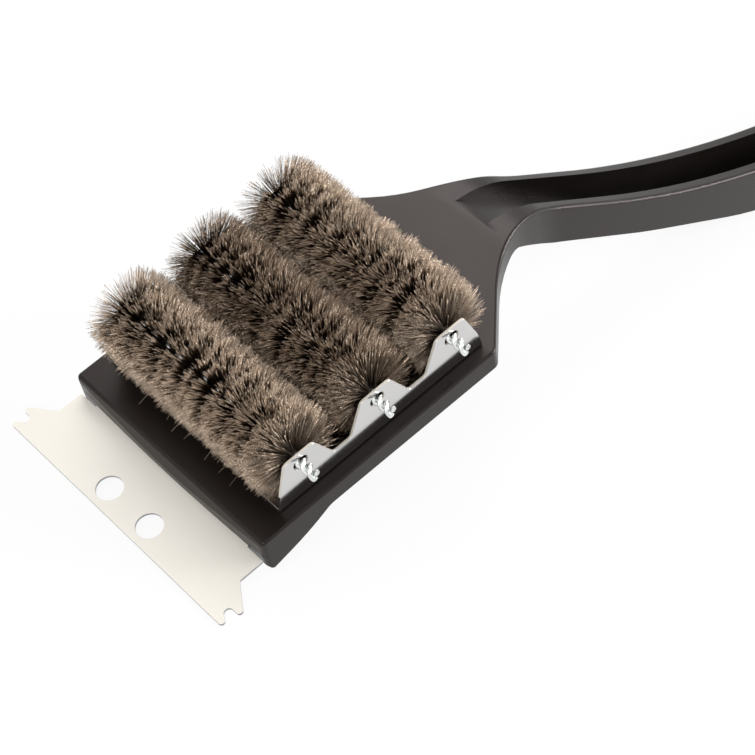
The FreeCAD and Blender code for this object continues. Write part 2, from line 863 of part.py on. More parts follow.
for item in doc.Objects:
    if "Invalid" in item.State or "Error" in item.State:
        raise ValueError(f"{item.Name} failed: {item.State}")
for item in parts:
    if item.Shape.isNull() or not item.Shape.isValid():
        raise ValueError(f"{item.Label} has no valid shape")

os.makedirs("parts", exist_ok=True)
for item in parts:
    item.Shape.exportStep(f"parts/{item.Label}.step")
    print(item.Label, len(item.Shape.Solids), "solids", round(item.Shape.Volume), "mm3")
print("lies tilted by", round(size("rest_tilt"), 2), "degrees")
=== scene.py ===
# %% [markdown]
# A grill cleaning brush: a black moulded handle, a bright bracket that holds three
# rows of twisted-wire bristles, and a thin steel scraper blade at the front.  The
# solids of the part are loaded first.  They stay where they are, and what is made
# here is laid over them, in metres and in the same frame.

import math
import bpy
import numpy as np
from mathutils import Matrix, Vector


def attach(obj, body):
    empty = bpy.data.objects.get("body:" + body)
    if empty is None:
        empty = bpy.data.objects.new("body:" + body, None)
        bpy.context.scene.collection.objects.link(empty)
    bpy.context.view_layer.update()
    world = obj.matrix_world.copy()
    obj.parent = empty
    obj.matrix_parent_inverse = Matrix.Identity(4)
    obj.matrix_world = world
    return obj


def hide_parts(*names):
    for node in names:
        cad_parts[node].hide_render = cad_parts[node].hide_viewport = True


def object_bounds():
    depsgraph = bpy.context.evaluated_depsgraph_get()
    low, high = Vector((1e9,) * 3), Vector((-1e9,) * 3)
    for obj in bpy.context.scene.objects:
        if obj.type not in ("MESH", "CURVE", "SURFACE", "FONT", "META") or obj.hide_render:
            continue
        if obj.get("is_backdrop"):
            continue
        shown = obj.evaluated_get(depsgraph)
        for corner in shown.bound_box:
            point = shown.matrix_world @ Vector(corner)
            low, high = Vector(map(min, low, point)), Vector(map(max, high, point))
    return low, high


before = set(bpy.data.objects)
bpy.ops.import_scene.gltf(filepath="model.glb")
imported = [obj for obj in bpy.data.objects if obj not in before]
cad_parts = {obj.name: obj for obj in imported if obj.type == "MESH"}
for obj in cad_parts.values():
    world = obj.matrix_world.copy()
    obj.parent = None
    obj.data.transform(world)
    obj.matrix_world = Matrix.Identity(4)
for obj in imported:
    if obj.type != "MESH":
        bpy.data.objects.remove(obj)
cad_low, cad_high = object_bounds()
MM = 0.001
print("nodes:", sorted(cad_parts))

# %% [markdown]
# The brush lies tilted, resting on its blade and on the belly of its handle, so
# nothing on it is square to the world.  Working on a tilted head is awkward.  It is
# easier to model in the head's own frame, with X across it, Y towards the handle and
# Z out of the bristle side, and to lay each finished mesh down with one matrix.  The
# tilt is read off the bracket: its largest flat faces are the two sides of its base.

# %% The head's own frame
bracket_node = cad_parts["brush_bracket"]


def flat_direction(node):
    """The upward normal that most of a node's area shares, X left out."""
    area_by_normal = {}
    for face in node.data.polygons:
        if face.normal.z > 0.1 and abs(face.normal.x) < 0.01:
            key = tuple(round(v, 3) for v in face.normal)
            area_by_normal[key] = area_by_normal.get(key, 0) + face.area
    return Vector(max(area_by_normal, key=area_by_normal.get))


up = flat_direction(bracket_node)
tilt = Matrix.Rotation(math.atan2(-up.y, up.z), 4, "X")
flat_points = [tilt.inverted() @ v.co for v in bracket_node.data.vertices]
corner = Vector((0, min(p.y for p in flat_points), min(p.z for p in flat_points)))
LAY = Matrix.Translation(tilt @ corner) @ tilt
STAND_UP = LAY.inverted()


def head_box(name):
    """Lowest and highest corner of a node in the head's own frame, in millimetres."""
    points = [STAND_UP @ v.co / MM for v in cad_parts[name].data.vertices]
    low = Vector(tuple(min(p[i] for p in points) for i in range(3)))
    high = Vector(tuple(max(p[i] for p in points) for i in range(3)))
    return low, high


print("tilt", round(math.degrees(math.atan2(-up.y, up.z)), 3), "degrees")
print("bracket in the head's frame", head_box("brush_bracket"))

# %% [markdown]
# The camera is the first thing to place, because every later choice is judged
# through it.  It looks down over the near right corner of the head with a long lens,
# which keeps the handle from shrinking too fast.  Its four directions are given in
# the head's frame and laid down with the same matrix as the pieces.

# %% Camera
SENSOR = 36.0
LENS_TO_PICTURE = 2200 / 755
camera_at = Vector((409.31, -175.89, 607.25)) * MM
camera_right = Vector((0.6663, 0.7336, -0.1335)).normalized()
camera_back = Vector((0.5043, -0.3115, 0.8054)).normalized()
camera_up = camera_back.cross(camera_right).normalized()
camera_right = camera_up.cross(camera_back)
facing = Matrix((camera_right, camera_up, camera_back)).transposed().to_4x4()

camera_data = bpy.data.cameras.new("camera")
camera_data.sensor_width = SENSOR
camera_data.lens = LENS_TO_PICTURE * SENSOR
camera_data.clip_start = 0.01
camera = bpy.data.objects.new("camera", camera_data)
camera.matrix_world = LAY @ Matrix.Translation(camera_at) @ facing
bpy.context.scene.collection.objects.link(camera)
bpy.context.scene.camera = camera
print("camera", [round(v, 3) for v in camera.matrix_world.translation])

# %% [markdown]
# The set is as plain as a white table in a bright room.  The world gives an even
# light, a large soft lamp above the far left gives the steel and the moulding their
# soft highlights, and another fills the near side.  A third, low behind the right,
# draws a line of light along the rims.  The floor shows pure white to the camera
# and to mirrors, but a share of it stays an ordinary pale surface, so that it keeps
# the brush's soft shadow.

# %% Helpers for node trees
scene = bpy.context.scene
scene.view_settings.view_transform = "Standard"


def link(tree, source, target):
    tree.links.new(source, target)


def maths(tree, operation, first, second):
    """A Math node; each input is a socket or a plain number."""
    node = tree.nodes.new("ShaderNodeMath")
    node.operation = operation
    for slot, value in zip(node.inputs, (first, second)):
        if isinstance(value, (int, float)):
            slot.default_value = value
        else:
            link(tree, value, slot)
    return node.outputs[0]


def seen_directly(tree):
    """1 for rays from the camera, from a mirror or through glass, otherwise 0."""
    path = tree.nodes.new("ShaderNodeLightPath")
    unbent = maths(tree, "MAXIMUM", path.outputs["Is Camera Ray"], path.outputs["Is Glossy Ray"])
    return maths(tree, "MAXIMUM", unbent, path.outputs["Is Transmission Ray"])


def mixed(tree, share, first, second, target):
    """Mixes two shaders by a share and sends the result to the output's surface."""
    mix = tree.nodes.new("ShaderNodeMixShader")
    link(tree, share, mix.inputs["Fac"])
    link(tree, first, mix.inputs[1])
    link(tree, second, mix.inputs[2])
    link(tree, mix.outputs[0], tree.nodes.new(target).inputs["Surface"])


def glowing(tree, kind, colour, strength):
    node = tree.nodes.new(kind)
    node.inputs["Color"].default_value = colour
    node.inputs["Strength"].default_value = strength
    return node.outputs[0]


# %% Bright room
ROOM_LIGHT = 0.42
world = bpy.data.worlds.new("bright_room")
world.use_nodes = True
scene.world = world
room = world.node_tree
room.nodes.clear()
room_light = glowing(room, "ShaderNodeBackground", (1.0, 0.985, 0.96, 1), ROOM_LIGHT)
room_white = glowing(room, "ShaderNodeBackground", (1, 1, 1, 1), 1.0)
mixed(room, seen_directly(room), room_light, room_white, "ShaderNodeOutputWorld")
print("world:", world.name)


# %% Soft lamps
def soft_lamp(name, at, aim, width, power):
    """A square soft box that hangs at one place and shines at another."""
    data = bpy.data.lights.new(name, "AREA")
    data.shape = "SQUARE"
    data.size = width
    data.energy = power
    lamp = bpy.data.objects.new(name, data)
    lamp.location = at
    lamp.rotation_euler = (Vector(aim) - Vector(at)).to_track_quat("-Z", "Y").to_euler()
    scene.collection.objects.link(lamp)


soft_lamp("key_lamp", (-0.68, 0.25, 1.15), (0, -0.1, 0.04), 0.95, 9.0)
soft_lamp("fill_lamp", (0.4, -1.2, 0.9), (0, -0.1, 0.04), 0.8, 9.0)
soft_lamp("edge_lamp", (0.85, 0.90, 0.50), (0, 0.05, 0.08), 0.75, 24.0)

# %% White floor
FLOOR_SIZE = 8
FLOOR_GLOW = 0.90
bpy.ops.object.select_all(action="DESELECT")
bpy.ops.mesh.primitive_plane_add(size=FLOOR_SIZE, location=(0, 0, 0))
floor = bpy.context.active_object
floor.name = "floor"
floor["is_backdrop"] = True

paper = bpy.data.materials.new("white_paper")
paper.use_nodes = True
paper_tree = paper.node_tree
paper_tree.nodes.clear()
pale = paper_tree.nodes.new("ShaderNodeBsdfDiffuse")
pale.inputs["Color"].default_value = (0.86, 0.86, 0.86, 1)
glow = glowing(paper_tree, "ShaderNodeEmission", (1, 1, 1, 1), 1.0)
share = maths(paper_tree, "MULTIPLY", seen_directly(paper_tree), FLOOR_GLOW)
mixed(paper_tree, share, pale.outputs[0], glow, "ShaderNodeOutputMaterial")
floor.data.materials.append(paper)
print(floor.name, "is", FLOOR_SIZE, "m wide, in", paper.name)

# %% [markdown]
# Three effects come back in several finishes, so each is a node group that is built
# once.  Fine grain is the tooth of a moulded or dulled surface.  Drawn lines are the
# marks that rolling leaves along a sheet.  Cloudy tone shifts a colour and a
# roughness a little from place to place, as handling and the light film of oil on
# new metal do.

# %% Helpers for node groups
def new_group(name, inputs, outputs):
    group = bpy.data.node_groups.new(name, "ShaderNodeTree")
    for title, kind, value in inputs:
        socket = group.interface.new_socket(title, in_out="INPUT", socket_type=kind)
        if value is not None:
            socket.default_value = value
    for title, kind in outputs:
        group.interface.new_socket(title, in_out="OUTPUT", socket_type=kind)
    start = group.nodes.new("NodeGroupInput")
    end = group.nodes.new("NodeGroupOutput")
    return group, start, end


def noise(tree, vector, scale, detail=2.0):
    node = tree.nodes.new("ShaderNodeTexNoise")
    node.inputs["Detail"].default_value = detail
    link(tree, vector, node.inputs["Vector"])
    if isinstance(scale, (int, float)):
        node.inputs["Scale"].default_value = scale
    else:
        link(tree, scale, node.inputs["Scale"])
    return node.outputs["Fac"]


# %% Fine grain
FLOAT, COLOUR, VECTOR = "NodeSocketFloat", "NodeSocketColor", "NodeSocketVector"

grain_group, g_in, g_out = new_group(
    "fine_grain",
    [("Vector", VECTOR, None), ("Scale", FLOAT, 900.0)],
    [("Height", FLOAT)],
)
coarse = noise(grain_group, g_in.outputs["Vector"], g_in.outputs["Scale"], 3.0)
finer_scale = maths(grain_group, "MULTIPLY", g_in.outputs["Scale"], 3.1)
finer = noise(grain_group, g_in.outputs["Vector"], finer_scale, 1.0)
both = maths(grain_group, "ADD", coarse, maths(grain_group, "MULTIPLY", finer, 0.5))
link(grain_group, both, g_out.inputs["Height"])
print("made", grain_group.name)

# %% Drawn lines
lines_group, l_in, l_out = new_group(
    "drawn_lines",
    [("Vector", VECTOR, None), ("Stretch", VECTOR, (1, 1, 1)), ("Scale", FLOAT, 60.0)],
    [("Height", FLOAT)],
)
stretched = lines_group.nodes.new("ShaderNodeVectorMath")
stretched.operation = "MULTIPLY"
link(lines_group, l_in.outputs["Vector"], stretched.inputs[0])
link(lines_group, l_in.outputs["Stretch"], stretched.inputs[1])
lines = noise(lines_group, stretched.outputs[0], l_in.outputs["Scale"], 4.0)
link(lines_group, lines, l_out.inputs["Height"])
print("made", lines_group.name)

# %% Cloudy tone
tone_group, t_in, t_out = new_group(
    "cloudy_tone",
    [
        ("Vector", VECTOR, None), ("Scale", FLOAT, 20.0), ("Colour A", COLOUR, None),
        ("Colour B", COLOUR, None), ("Low", FLOAT, 0.3), ("High", FLOAT, 0.5),
    ],
    [("Colour", COLOUR), ("Roughness", FLOAT)],
)
cloud = noise(tone_group, t_in.outputs["Vector"], t_in.outputs["Scale"], 5.0)
sharper = tone_group.nodes.new("ShaderNodeMapRange")
sharper.inputs["From Min"].default_value = 0.3
sharper.inputs["From Max"].default_value = 0.7
link(tone_group, cloud, sharper.inputs["Value"])
tint = tone_group.nodes.new("ShaderNodeMix")
tint.data_type = "RGBA"
link(tone_group, sharper.outputs[0], tint.inputs["Factor"])
link(tone_group, t_in.outputs["Colour A"], tint.inputs[6])
link(tone_group, t_in.outputs["Colour B"], tint.inputs[7])
link(tone_group, tint.outputs[2], t_out.inputs["Colour"])
spread = maths(tone_group, "SUBTRACT", t_in.outputs["High"], t_in.outputs["Low"])
rough = maths(tone_group, "ADD", t_in.outputs["Low"],
              maths(tone_group, "MULTIPLY", spread, sharper.outputs[0]))
link(tone_group, rough, t_out.inputs["Roughness"])
print("groups:", [g.name for g in bpy.data.node_groups])

# %% [markdown]
# Each finish is one material.  They are all built alike: the position on the object,
# turned back into the head's frame so that lines can run square to the sheet, goes
# through a cloudy tone into a Principled shader's colour and roughness, and through
# a relief, grain or drawn lines, into its bump.  One helper wires this up, and each
# finish has only its own values.

# %% Helpers for a finish
def place_group(tree, group, vector, **values):
    node = tree.nodes.new("ShaderNodeGroup")
    node.node_tree = group
    link(tree, vector, node.inputs["Vector"])
    for title, value in values.items():
        node.inputs[title.replace("_", " ")].default_value = value
    return node


def head_position(tree):
    """The position on the object, in the head's own frame."""
    where = tree.nodes.new("ShaderNodeTexCoord")
    turn = tree.nodes.new("ShaderNodeMapping")
    turn.vector_type = "POINT"
    turn.inputs["Location"].default_value = STAND_UP.translation
    turn.inputs["Rotation"].default_value = STAND_UP.to_euler()
    link(tree, where.outputs["Object"], turn.inputs["Vector"])
    return turn.outputs["Vector"]


def plain_material(name, metallic):
    """A new material, its node tree and its Principled shader."""
    material = bpy.data.materials.new(name)
    material.use_nodes = True
    shader = material.node_tree.nodes["Principled BSDF"]
    shader.inputs["Metallic"].default_value = metallic
    return material, material.node_tree, shader


BUMP_DEPTH = 0.05 * MM


def finish(name, metallic, bump_strength, relief_group, relief, tone, bump_depth=BUMP_DEPTH):
    """A material from its tone values, and a relief group with its values."""
    material, tree, shader = plain_material(name, metallic)
    vector = head_position(tree)
    cloudy = place_group(tree, tone_group, vector, **tone)
    link(tree, cloudy.outputs["Colour"], shader.inputs["Base Color"])
    link(tree, cloudy.outputs["Roughness"], shader.inputs["Roughness"])
    bump = tree.nodes.new("ShaderNodeBump")
    bump.inputs["Strength"].default_value = bump_strength
    bump.inputs["Distance"].default_value = bump_depth
    uneven = place_group(tree, relief_group, vector, **relief)
    link(tree, uneven.outputs["Height"], bump.inputs["Height"])
    link(tree, bump.outputs["Normal"], shader.inputs["Normal"])
    return material


# %% Black moulding
moulding = finish(
    "black_moulding", 0.0, 0.10, grain_group, dict(Scale=1400.0),
    dict(Scale=35.0, Low=0.27, High=0.35,
         Colour_A=(0.0035, 0.0026, 0.0022, 1), Colour_B=(0.0055, 0.0044, 0.0038, 1)),
    bump_depth=0.1 * MM)
plastic_sheen = moulding.node_tree.nodes["Principled BSDF"].inputs
plastic_sheen["Specular IOR Level"].default_value = 0.31
plastic_sheen["Specular Tint"].default_value = (1.0, 0.855, 0.82, 1)
print("made", moulding.name)

# %% Sheet steel: the blade, the bracket and their cut edges
blade_steel = finish(
    "satin_steel", 0.2, 0.05, lines_group, dict(Stretch=(1, 60, 1), Scale=60.0),
    dict(Scale=12.0, Low=0.46, High=0.54,
         Colour_A=(0.78, 0.745, 0.675, 1), Colour_B=(0.84, 0.805, 0.74, 1)))
edge_steel = finish(
    "cut_edge", 1.0, 0.2, lines_group, dict(Stretch=(30, 30, 1), Scale=60.0),
    dict(Scale=150.0, Low=0.30, High=0.45,
         Colour_A=(0.26, 0.27, 0.28, 1), Colour_B=(0.40, 0.41, 0.41, 1)))
bracket_steel = finish(
    "bright_steel", 1.0, 0.03, lines_group, dict(Stretch=(1, 1, 40), Scale=80.0),
    dict(Scale=25.0, Low=0.09, High=0.16,
         Colour_A=(0.58, 0.575, 0.575, 1), Colour_B=(0.65, 0.64, 0.635, 1)))
sheared_steel = finish(
    "sheared_edge", 0.3, 0.1, grain_group, dict(Scale=2500.0),
    dict(Scale=200.0, Low=0.42, High=0.5,
         Colour_A=(0.72, 0.67, 0.59, 1), Colour_B=(0.78, 0.73, 0.65, 1)))
print("made", [m.name for m in (blade_steel, edge_steel, bracket_steel, sheared_steel)])

# %% Galvanised core wire and plated screws
core_steel = finish(
    "galvanised_wire", 1.0, 0.15, grain_group, dict(Scale=2500.0),
    dict(Scale=300.0, Low=0.20, High=0.38,
         Colour_A=(0.66, 0.68, 0.67, 1), Colour_B=(0.88, 0.90, 0.89, 1)))
screw_steel = finish(
    "plated_screw", 1.0, 0.05, grain_group, dict(Scale=2000.0),
    dict(Scale=200.0, Low=0.2, High=0.32,
         Colour_A=(0.55, 0.55, 0.52, 1), Colour_B=(0.68, 0.67, 0.63, 1)))
print("made", core_steel.name, "and", screw_steel.name)

# %% [markdown]
# A bristle is crimped wire: it waves every millimetre or so, and each crest catches
# the light as a dot.  That many crests in seventy thousand bristles can't all be
# geometry, so a value stored along each bristle drives them: it paints a row of bright
# crests, as painted highlights, between dull troughs, and makes the crests smoother.
# A second stored value differs from bristle to bristle, as heat and oil make each wire
# a little browner or greyer.  It also carries a painted shade that makes the middle row
# darker, and picks out the wires whose crests get the strongest painted glints.
# Towards its root each bristle is painted darker still, as painted shade from the
# depth of the brush.

# %% Crimp crests
CRESTS_PER_MM = 0.95
OWN_SHIFT = 17.0
crimp_group, c_in, c_out = new_group(
    "crimp_crests",
    [("Along", FLOAT, 0.0), ("Own", FLOAT, 0.0), ("Crests per mm", FLOAT, CRESTS_PER_MM)],
    [("Crest", FLOAT)],
)
turns = maths(crimp_group, "MULTIPLY", c_in.outputs["Along"], c_in.outputs["Crests per mm"])
own_start = maths(crimp_group, "MULTIPLY", c_in.outputs["Own"], OWN_SHIFT)
start_turn = maths(crimp_group, "ADD", turns, own_start)
wave = maths(crimp_group, "SINE", maths(crimp_group, "MULTIPLY", start_turn, 2 * math.pi), 0)
height = maths(crimp_group, "ADD", maths(crimp_group, "MULTIPLY", wave, 0.5), 0.5)
crest = maths(crimp_group, "POWER", height, 3.0)
link(crimp_group, crest, c_out.inputs["Crest"])
print("made", crimp_group.name)

# %% Crimped bristle wire
# Painted shade deep in the brush: inside these lengths in mm a bristle is painted darker, down
# to the share of its tone kept at the root.
ROOT_SHADE_FROM, ROOT_SHADE_TO = 4.0, 15.0
ROOT_TONE = 0.25
DULL, GLINT = 0.36, -0.22
bristle_steel, tree, shader = plain_material("crimped_bristle_wire", 1.0)
along = tree.nodes.new("ShaderNodeAttribute")
along.attribute_name = "along"
# The stored 'own' value carries each wire's random tone, the painted shade of its row and the
# choice of wires for painted glints.
own = tree.nodes.new("ShaderNodeAttribute")
own.attribute_name = "own"
crimp = tree.nodes.new("ShaderNodeGroup")
crimp.node_tree = crimp_group
link(tree, along.outputs["Fac"], crimp.inputs["Along"])
link(tree, own.outputs["Fac"], crimp.inputs["Own"])
tone_shade_and_glint_ramp = tree.nodes.new("ShaderNodeValToRGB")
tone_shade_and_glint_ramp.color_ramp.elements[0].color = (0.11, 0.072, 0.045, 1)
tone_shade_and_glint_ramp.color_ramp.elements[1].color = (0.18, 0.120, 0.074, 1)
lightest = tone_shade_and_glint_ramp.color_ramp.elements.new(0.93)
lightest.color = (0.56, 0.425, 0.31, 1)
link(tree, own.outputs["Fac"], tone_shade_and_glint_ramp.inputs["Fac"])
# Painted highlight: each crest is mixed towards a pale cream, most on wires with a high stored
# value.
painted_crest_highlight = tree.nodes.new("ShaderNodeMix")
painted_crest_highlight.data_type = "RGBA"
painted_crest_highlight.inputs[7].default_value = (1.0, 0.87, 0.73, 1)
glinting = maths(tree, "MULTIPLY", crimp.outputs["Crest"],
                 maths(tree, "POWER", own.outputs["Fac"], 0.9))
link(tree, glinting, painted_crest_highlight.inputs["Factor"])
link(tree, tone_shade_and_glint_ramp.outputs["Color"], painted_crest_highlight.inputs[6])
# Painted shade: towards its root each bristle is mixed towards near black.
painted_root_shade = tree.nodes.new("ShaderNodeMapRange")
painted_root_shade.inputs["From Min"].default_value = ROOT_SHADE_FROM
painted_root_shade.inputs["From Max"].default_value = ROOT_SHADE_TO
painted_root_shade.inputs["To Min"].default_value = ROOT_TONE
link(tree, along.outputs["Fac"], painted_root_shade.inputs["Value"])
root_shaded_tone = tree.nodes.new("ShaderNodeMix")
root_shaded_tone.data_type = "RGBA"
root_shaded_tone.inputs[6].default_value = (0.018, 0.011, 0.006, 1)
link(tree, painted_root_shade.outputs[0], root_shaded_tone.inputs["Factor"])
link(tree, painted_crest_highlight.outputs[2], root_shaded_tone.inputs[7])
link(tree, root_shaded_tone.outputs[2], shader.inputs["Base Color"])
smoother = maths(tree, "MULTIPLY", glinting, GLINT)
link(tree, maths(tree, "ADD", smoother, DULL), shader.inputs["Roughness"])
print("materials:", [m.name for m in bpy.data.materials])

# %% [markdown]
# The moulding, the blade and the bracket already have their right shapes in the
# solids.  What they lack is what a smooth render needs: welded corners, a fine break
# on the sharp edges that catches a line of light, and smooth shading.  A copy is
# welded, its flat faces are joined from triangles, and then it is bevelled.

# %% Dress the sheet parts and the moulding
WELD = 0.002 * MM
FLAT_WITHIN = math.radians(0.5)
SHARP_FROM = math.radians(40)
SMOOTH_TO = math.radians(38)
MOULDED_BREAK, SHEET_BREAK, NO_BREAK = 0.4 * MM, 0.12 * MM, 0


def only(piece):
    """Selects this one piece and makes it active."""
    bpy.ops.object.select_all(action="DESELECT")
    piece.select_set(True)
    bpy.context.view_layer.objects.active = piece


def dressed_copy(node_name, name, material, edge_break):
    """A welded, edge-broken and smooth copy of a node, laid over it."""
    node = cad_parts[node_name]
    piece = bpy.data.objects.new(name, node.data.copy())
    scene.collection.objects.link(piece)
    only(piece)
    bpy.ops.object.mode_set(mode="EDIT")
    bpy.ops.mesh.select_all(action="SELECT")
    bpy.ops.mesh.remove_doubles(threshold=WELD)
    bpy.ops.mesh.dissolve_limited(angle_limit=FLAT_WITHIN)
    bpy.ops.object.mode_set(mode="OBJECT")
    if edge_break:
        modifier = piece.modifiers.new("edge_break", "BEVEL")
        modifier.width = edge_break
        modifier.segments = 2
        modifier.limit_method = "ANGLE"
        modifier.angle_limit = SHARP_FROM
        modifier.use_clamp_overlap = True
        bpy.ops.object.modifier_apply(modifier="edge_break")
    bpy.ops.object.shade_smooth_by_angle(angle=SMOOTH_TO)
    even = piece.modifiers.new("even_shading", "WEIGHTED_NORMAL")
    even.keep_sharp = True
    bpy.ops.object.modifier_apply(modifier="even_shading")
    piece.data.materials.clear()
    piece.data.materials.append(material)
    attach(piece, "root")
    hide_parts(node_name)
    print(name, len(piece.data.polygons), "faces")
    return piece


dressed_copy("handle_body", "moulded_handle", moulding, MOULDED_BREAK)
blade = dressed_copy("scraper_blade", "notched_blade", blade_steel, SHEET_BREAK)
bracket = dressed_copy("brush_bracket", "bent_bracket", bracket_steel, SHEET_BREAK)
for node_name, name in (("bracket_screws", "pan_head_screws"),
                        ("blade_screws", "blade_pan_head_screws")):
    dressed_copy(node_name, name, screw_steel, NO_BREAK)

# %% [markdown]
# Sheet that has been cut shows a different face at its edge than on its flat.  The
# blade's edges are torn and darker.  The edges of the bracket's flanges are sheared
# dull and pale, and show as a thin line along the tabs.

# %% Cut edges of the blade and the bracket
LYING = 0.3
CROSSWISE = 0.5
ABOVE_BEND = 3 * MM


def paint_faces(piece, material, wanted):
    """Gives a second material to the faces that pass a test."""
    piece.data.materials.append(material)
    chosen = [face for face in piece.data.polygons if wanted(face)]
    for face in chosen:
        face.material_index = 1
    print(piece.name, len(chosen), "faces in", material.name)


across_head = LAY.to_3x3().normalized() @ Vector((1, 0, 0))
blade_flat = max(blade.data.polygons, key=lambda face: face.area)


def is_blade_edge(face):
    """True for a small face square to the blade's flat, or across the head."""
    sideways = face.normal.dot(across_head)
    upright = (face.normal - across_head * sideways).normalized()
    square = abs(upright.dot(blade_flat.normal)) < LYING
    return face.area < blade_flat.area / 3 and (abs(sideways) > CROSSWISE or square)


def is_flange_edge(face):
    """True for a face above the bend that doesn't look out to either side."""
    return abs(face.normal.x) < LYING and (STAND_UP @ face.center).z > ABOVE_BEND


paint_faces(bracket, sheared_steel, is_flange_edge)
paint_faces(blade, edge_steel, is_blade_edge)

# %% [markdown]
# Each brush has a core of two wires twisted round each other.  The Screw modifier
# does this: it turns a small outline round an axis while it moves along it.  Its
# outline stays square to the axis, not to the wire, so the circle is stretched
# sideways first to make the wire come out round.  Outside the bracket the pair is
# wrung tighter, so that it can't slip back through its slot, and it droops a little.

# %% Twisted core wires
bracket_high = head_box("brush_bracket")[1]
ROWS = ("front", "middle", "rear")
row_y = []
for place in ROWS:
    low, high = head_box(place + "_bristles")
    row_y.append((low.y + high.y) / 2)
wire_low, wire_high = head_box("front_wire_a")
WIRE_R = 1.05
WIRE_SIDES = 16
STEPS_PER_TURN = 36
STRAND_R = 1.15
PITCH = 13.5
END_PITCH = 6.6
AXIS_Z = (wire_low.z + wire_high.z) / 2
HALF_LENGTH = wire_high.x
TIGHT_FROM = bracket_high.x - 1.5
DROOP = 0.6
ROUND_TO = math.radians(50)
print("rows at", [round(y, 2) for y in row_y], "axis height", round(AXIS_Z, 2))


def twisted_wire(name, row_at, phase):
    """One of a row's two wires: a stretched circle screwed along X."""
    turns = 2 * HALF_LENGTH / PITCH
    bpy.ops.object.select_all(action="DESELECT")
    bpy.ops.mesh.primitive_circle_add(vertices=WIRE_SIDES, radius=WIRE_R, location=(0, 0, 0))
    wire = bpy.context.active_object
    wire.name = name
    lean = math.atan(2 * math.pi * STRAND_R / PITCH)
    for vertex in wire.data.vertices:
        out, sideways = vertex.co.x, vertex.co.y / math.cos(lean)
        vertex.co = (0, STRAND_R + out, sideways)
    wire.data.transform(Matrix.Rotation(phase - math.pi * turns, 4, "X"))
    screw = wire.modifiers.new("twist", "SCREW")
    screw.axis = "X"
    screw.angle = 2 * math.pi * turns
    screw.screw_offset = 2 * HALF_LENGTH
    screw.steps = round(STEPS_PER_TURN * turns)
    screw.render_steps = screw.steps
    screw.use_smooth_shade = True
    screw.use_merge_vertices = False
    bpy.ops.object.modifier_apply(modifier="twist")
    extra = 2 * math.pi * (1 / END_PITCH - 1 / PITCH)
    for vertex in wire.data.vertices:
        vertex.co.x -= HALF_LENGTH
        over = max(0.0, abs(vertex.co.x) - TIGHT_FROM)
        tighter = math.copysign(extra * over, vertex.co.x)
        vertex.co = Matrix.Rotation(tighter, 3, "X") @ vertex.co
        outside = max(0.0, abs(vertex.co.x) - bracket_high.x)
        vertex.co.z -= DROOP * (outside / (HALF_LENGTH - bracket_high.x)) ** 2
    bpy.ops.object.mode_set(mode="EDIT")
    bpy.ops.mesh.select_all(action="DESELECT")
    bpy.ops.mesh.select_non_manifold(extend=False, use_boundary=True)
    bpy.ops.mesh.edge_face_add()
    bpy.ops.mesh.select_all(action="SELECT")
    bpy.ops.mesh.normals_make_consistent(inside=False)
    bpy.ops.object.mode_set(mode="OBJECT")
    centre = Matrix.Translation((0, row_at * MM, AXIS_Z * MM))
    wire.data.transform(LAY @ centre @ Matrix.Scale(MM, 4))
    wire.data.materials.append(core_steel)
    bpy.ops.object.shade_smooth_by_angle(angle=ROUND_TO)
    return wire


for row, place in enumerate(ROWS):
    for letter, phase in (("a", 0.0), ("b", math.pi)):
        wire = twisted_wire(f"{place}_core_wire_{letter}", row_y[row], phase)
        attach(wire, "root")
        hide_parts(f"{place}_wire_{letter}")
        print(wire.name, len(wire.data.polygons), "faces")

# %% [markdown]
# The bristles make the object.  Each is a piece of thin crimped wire held by its
# middle between the two core wires, so bristles leave the core on both sides of the
# twist and their root turns with it.  One three-sided wire of a few rings is drawn
# and kinked eight times over, and then planted thousands of times: root on
# the twist, direction out from the axis with a seeded scatter, length cut to the
# barrel that the brush was trimmed to.  A particle system would do the same, but it
# leaves nothing that a file can carry.

# %% One bristle, kinked eight ways
RINGS = 5
KINDS = 8
BEND, JITTER = 0.07, 0.04
BRISTLE_R = 0.070
rng = np.random.default_rng(41)


def draw_bristle(kinks):
    """A three-sided wire one long unit high; kinks are sideways moves in millimetres."""
    bpy.ops.object.select_all(action="DESELECT")
    bpy.ops.mesh.primitive_circle_add(vertices=3, radius=BRISTLE_R, location=(0, 0, 0))
    bristle = bpy.context.active_object
    bpy.ops.object.mode_set(mode="EDIT")
    bpy.ops.mesh.select_all(action="SELECT")
    for kink in kinks:
        bpy.ops.mesh.extrude_region_move(
            TRANSFORM_OT_translate={"value": (kink[0], kink[1], 1 / (RINGS - 1))})
    bpy.ops.mesh.edge_face_add()
    bpy.ops.mesh.select_all(action="DESELECT")
    bpy.ops.mesh.select_non_manifold(extend=False, use_boundary=True)
    bpy.ops.mesh.edge_face_add()
    bpy.ops.mesh.select_all(action="SELECT")
    bpy.ops.mesh.normals_make_consistent(inside=False)
    bpy.ops.object.mode_set(mode="OBJECT")
    points = np.array([v.co for v in bristle.data.vertices])
    faces = [tuple(p.vertices) for p in bristle.data.polygons]
    mesh = bristle.data
    bpy.data.objects.remove(bristle)
    bpy.data.meshes.remove(mesh)
    return points, faces


templates = []
for _ in range(KINDS):
    bend = rng.normal(0, BEND, 2)
    kinks = (bend * np.linspace(-0.4, 1.6, RINGS - 1)[:, None]
             + rng.normal(0, JITTER, (RINGS - 1, 2)))
    templates.append(draw_bristle(kinks))
print("a bristle has", len(templates[0][1]), "faces")

